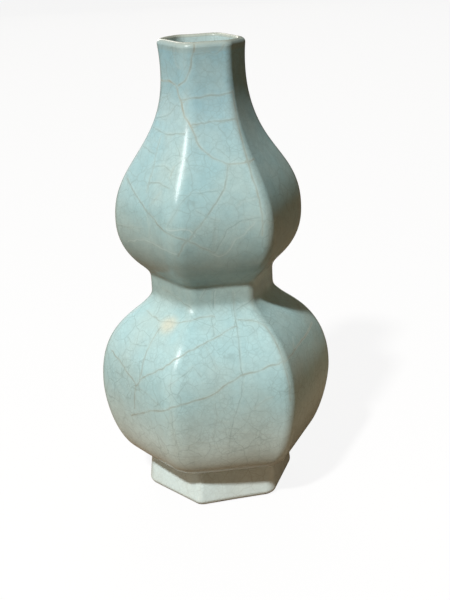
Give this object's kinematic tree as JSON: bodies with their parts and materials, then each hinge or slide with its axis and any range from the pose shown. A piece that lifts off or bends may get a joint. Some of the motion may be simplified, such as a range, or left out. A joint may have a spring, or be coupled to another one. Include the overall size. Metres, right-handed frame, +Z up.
{
  "type": "double gourd vase",
  "caption": "Faceted double gourd vase with a straight waist, a slim neck and a hollow foot; holds cut stems and water, in pale blue-green crackle glaze.",
  "frame": {"origin": "middle of the foot's underside, on the surface that the vase stands on", "axes": "+Z up through the mouth; the middle of facet 1 faces -Y; arrises lie on +X and -X"},
  "size_m": [0.1188, 0.1048, 0.23],
  "materials": {
    "crackle_glaze": "pale blue-green celadon glaze with brown and grey crackle, satin gloss",
    "foot_glaze": "paler celadon glaze with a bare iron-brown lower edge",
    "lip_glaze": "celadon glaze that thins to buff on the rim",
    "fired_slip": "fired clay slip inside the joints"
  },
  "bodies": {
    "root": {"floor_slab": "crackle_glaze", "foot_ring": "foot_glaze", "foot_slip": "fired_slip", "lip_slip": "fired_slip", "lower_panel_1": "crackle_glaze", "lower_panel_2": "crackle_glaze", "lower_panel_3": "crackle_glaze", "lower_panel_4": "crackle_glaze", "lower_panel_5": "crackle_glaze", "lower_panel_6": "crackle_glaze", "lower_panel_seams": "fired_slip", "mouth_lip": "lip_glaze", "upper_panel_1": "crackle_glaze", "upper_panel_2": "crackle_glaze", "upper_panel_3": "crackle_glaze", "upper_panel_4": "crackle_glaze", "upper_panel_5": "crackle_glaze", "upper_panel_6": "crackle_glaze", "upper_panel_seams": "fired_slip", "waist_collar": "crackle_glaze", "waist_lower_slip": "fired_slip", "waist_upper_slip": "fired_slip"}
  },
  "joints": []
}
